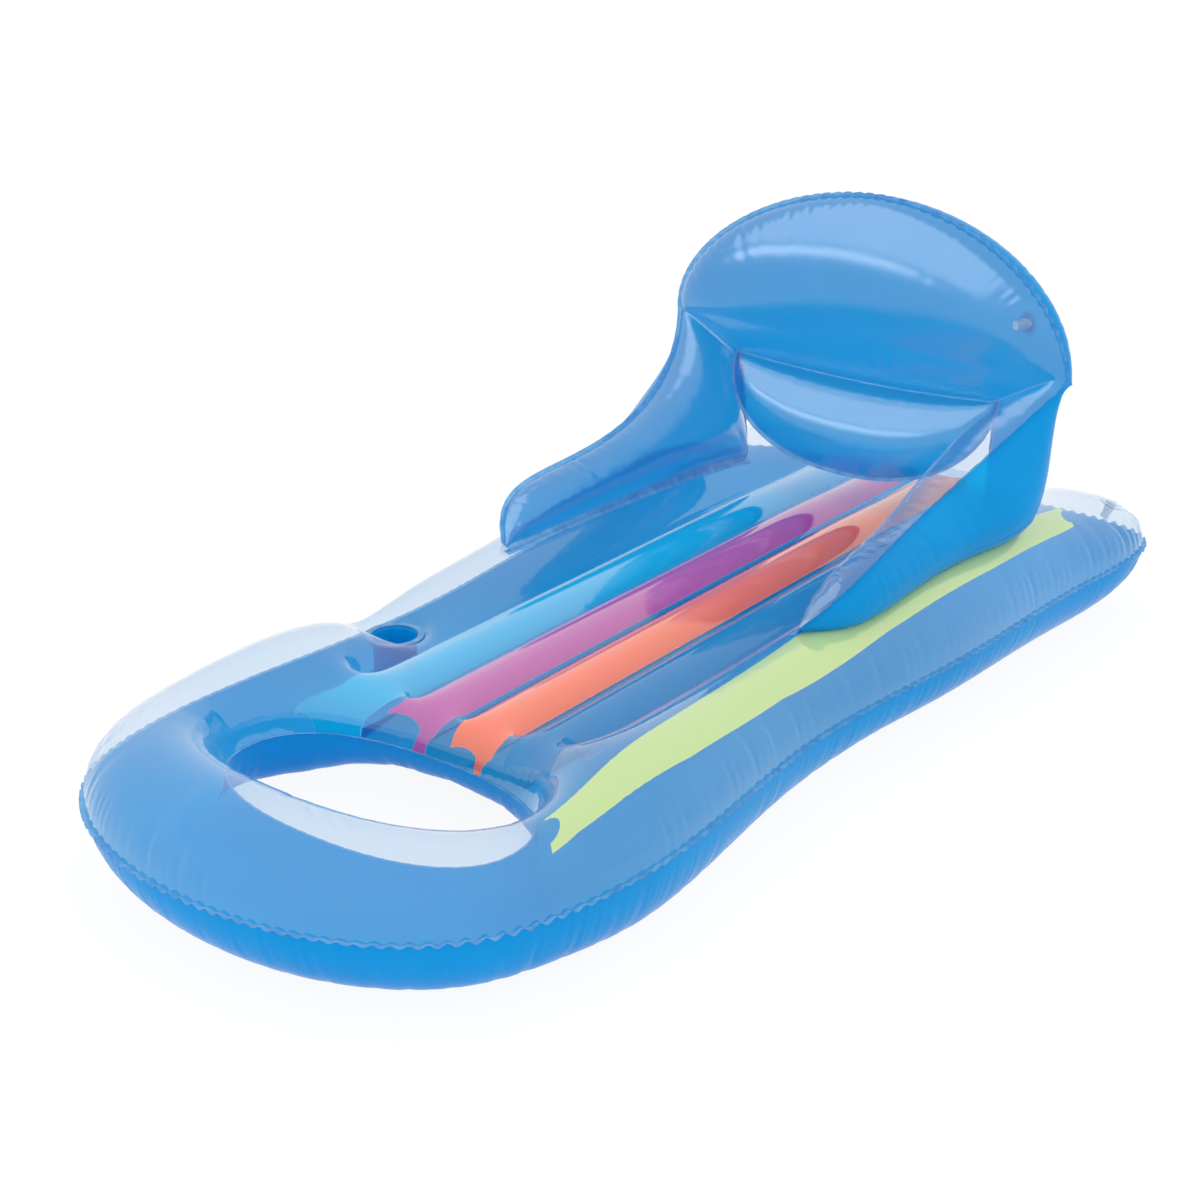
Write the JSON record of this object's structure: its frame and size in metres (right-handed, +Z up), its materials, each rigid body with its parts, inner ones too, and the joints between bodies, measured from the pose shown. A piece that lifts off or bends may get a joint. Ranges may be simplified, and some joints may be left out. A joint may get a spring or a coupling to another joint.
{
  "type": "inflatable pool lounger",
  "caption": "Inflatable pool lounger with lengthwise air channels, a foot opening, a side cup holder and an inflated horseshoe backrest whose arms are welded to the float.",
  "frame": {"origin": "on the floor under the middle of the float", "axes": "+Y to the head end, -Y to the foot opening, +X to the side without the cup holder, +Z up"},
  "size_m": [0.7134, 1.4991, 0.562],
  "materials": {
    "blue_film": "glossy translucent",
    "clear_film": "glossy clear",
    "welded_film": "glossy",
    "valve_plastic": "satin"
  },
  "bodies": {
    "lounger": {"mattress_top_film": "clear_film", "mattress_bottom_film": "blue_film", "beam_1": "clear_film", "beam_2": "clear_film", "beam_3": "clear_film", "beam_4": "clear_film", "beam_5": "clear_film", "cup_holder_rim": "welded_film", "cup_holder_sleeve": "blue_film", "backrest_front_film": "clear_film", "backrest_back_film": "blue_film", "arm_weld_strip_left": "welded_film", "arm_weld_strip_right": "welded_film", "mattress_valve": "valve_plastic", "backrest_valve": "valve_plastic"},
    "mattress_valve_stem_body": {"mattress_valve_stem": "valve_plastic"},
    "mattress_valve_plug_body": {"mattress_valve_plug": "valve_plastic"},
    "mattress_valve_flap_body": {"mattress_valve_flap": "valve_plastic"},
    "backrest_valve_stem_body": {"backrest_valve_stem": "valve_plastic"},
    "backrest_valve_plug_body": {"backrest_valve_plug": "valve_plastic"},
    "backrest_valve_flap_body": {"backrest_valve_flap": "valve_plastic"}
  },
  "joints": [
    {"name": "mattress_valve_stem_slide", "type": "slide", "parent": "lounger", "child": "mattress_valve_stem_body", "axis": [0.325, 0.2217, 0.9194], "range_m": [0, 0.01]},
    {"name": "mattress_valve_plug_hinge", "type": "hinge", "parent": "mattress_valve_stem_body", "child": "mattress_valve_plug_body", "pos_m": [0.29285, 0.68589, 0.14212], "axis": [-0.9428, 0, 0.3333], "range_deg": [0, 150]},
    {"name": "mattress_valve_flap_hinge", "type": "hinge", "parent": "mattress_valve_stem_body", "child": "mattress_valve_flap_body", "pos_m": [0.2861, 0.67308, 0.12301], "axis": [0.9428, 0, -0.3333], "range_deg": [0, 60], "stiffness_Nm_per_rad": 0.0002, "springref_deg": -8.59},
    {"name": "backrest_valve_stem_slide", "type": "slide", "parent": "lounger", "child": "backrest_valve_stem_body", "axis": [0.4085, 0.9122, 0.0327], "range_m": [0, 0.01]},
    {"name": "backrest_valve_plug_hinge", "type": "hinge", "parent": "backrest_valve_stem_body", "child": "backrest_valve_plug_body", "pos_m": [0.19586, 0.57264, 0.41593], "axis": [0.9127, -0.4087, 0], "range_deg": [0, 150]},
    {"name": "backrest_valve_flap_hinge", "type": "hinge", "parent": "backrest_valve_stem_body", "child": "backrest_valve_flap_body", "pos_m": [0.18674, 0.55226, 0.4072], "axis": [-0.9127, 0.4087, 0], "range_deg": [0, 60], "stiffness_Nm_per_rad": 0.0002, "springref_deg": -8.59}
  ]
}
